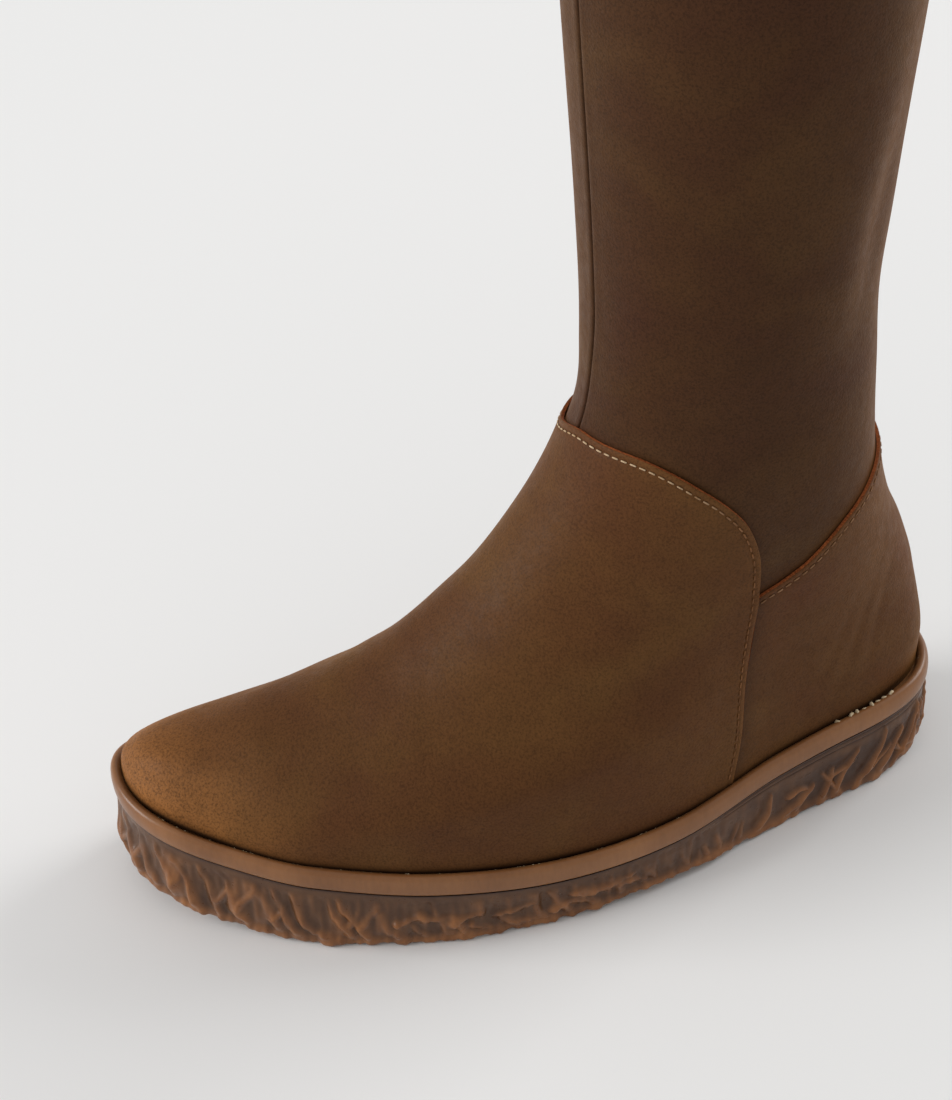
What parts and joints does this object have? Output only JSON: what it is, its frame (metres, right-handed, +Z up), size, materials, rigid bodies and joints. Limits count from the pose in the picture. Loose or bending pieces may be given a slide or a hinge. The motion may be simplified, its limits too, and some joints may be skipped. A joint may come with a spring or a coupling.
{
  "type": "knee-high boot",
  "caption": "Knee-high leather boot with an overlapping vamp and heel panel, a side zip and a moulded rubber cup sole with root-like tread; left foot.",
  "frame": {"origin": "on the floor, below the middle of the boot's box", "axes": "+Z up along the leg, -Y towards the toe, +X towards the outer side of a left foot"},
  "size_m": [0.1136, 0.2754, 0.4],
  "materials": {
    "tread_rubber": "slightly translucent brown moulded rubber, satin",
    "rim_rubber": "smooth caramel brown moulded rubber, satin",
    "footbed": "undyed leather footbed, matte",
    "shaft_leather": "oiled nubuck, matte to satin, clouded brown",
    "vamp_leather": "oiled nubuck, warm brown, lighter and orange at the toe",
    "heel_leather": "oiled nubuck, dark brown with faint creases",
    "zip_tape": "woven tape with dark brown moulded teeth",
    "zip_metal": "antique brass",
    "pull_metal": "antique brass"
  },
  "bodies": {
    "boot": {"outsole": "tread_rubber", "midsole": "rim_rubber", "insole": "footbed", "upper": "shaft_leather", "vamp": "vamp_leather", "heel_counter": "heel_leather", "zip": "zip_tape", "zip_slider": "zip_metal"},
    "pull": {"zip_pull": "pull_metal"}
  },
  "joints": [
    {"name": "pull_swing", "type": "hinge", "parent": "boot", "child": "pull", "pos_m": [-0.0548, 0.07672, 0.38521], "axis": [0.0415, 0.9986, 0.0343], "range_deg": [-9, 160]}
  ]
}
